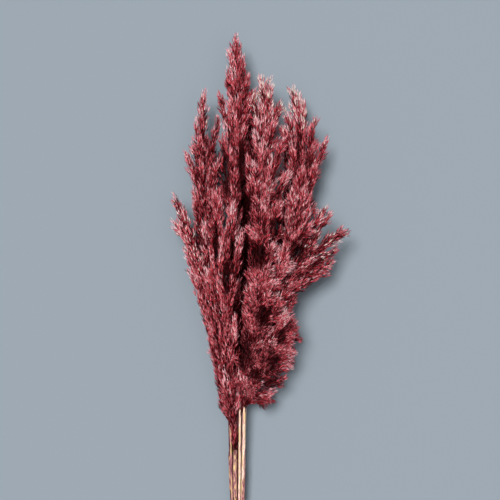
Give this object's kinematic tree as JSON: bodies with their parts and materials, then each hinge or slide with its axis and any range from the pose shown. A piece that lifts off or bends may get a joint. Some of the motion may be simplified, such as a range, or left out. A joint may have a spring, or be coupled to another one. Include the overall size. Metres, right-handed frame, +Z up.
{
  "type": "bundle of pampas grass",
  "caption": "Bundle of dried, dyed pampas grass stalks with feathery plumes, cut stems and torn leaf sheaths, tied with an elastic band and laid down.",
  "frame": {"origin": "on the surface that the bundle lies on, under the middle of its box", "axes": "+Y from the cut ends to the plume tips, +Z up from the surface"},
  "size_m": [0.2086, 0.6994, 0.0978],
  "materials": {
    "stem": "dry, straw coloured with mauve streaks",
    "plume": "dry and feathery, dyed burgundy",
    "sheath": "dry and papery",
    "band": "matt natural rubber"
  },
  "bodies": {
    "root": {"stem_01": "stem", "stem_02": "stem", "stem_03": "stem", "stem_04": "stem", "stem_05": "stem", "stem_06": "stem", "stem_07": "stem", "stem_08": "stem", "stem_09": "stem", "stem_10": "stem", "stem_11": "stem", "stem_12": "stem", "plume_01": "plume", "plume_02": "plume", "plume_03": "plume", "plume_04": "plume", "plume_05": "plume", "plume_06": "plume", "plume_07": "plume", "plume_08": "plume", "plume_09": "plume", "plume_10": "plume", "plume_11": "plume", "plume_12": "plume", "leaf_sheath_01": "sheath", "leaf_sheath_02": "sheath", "leaf_sheath_03": "sheath", "band": "band"}
  },
  "joints": []
}
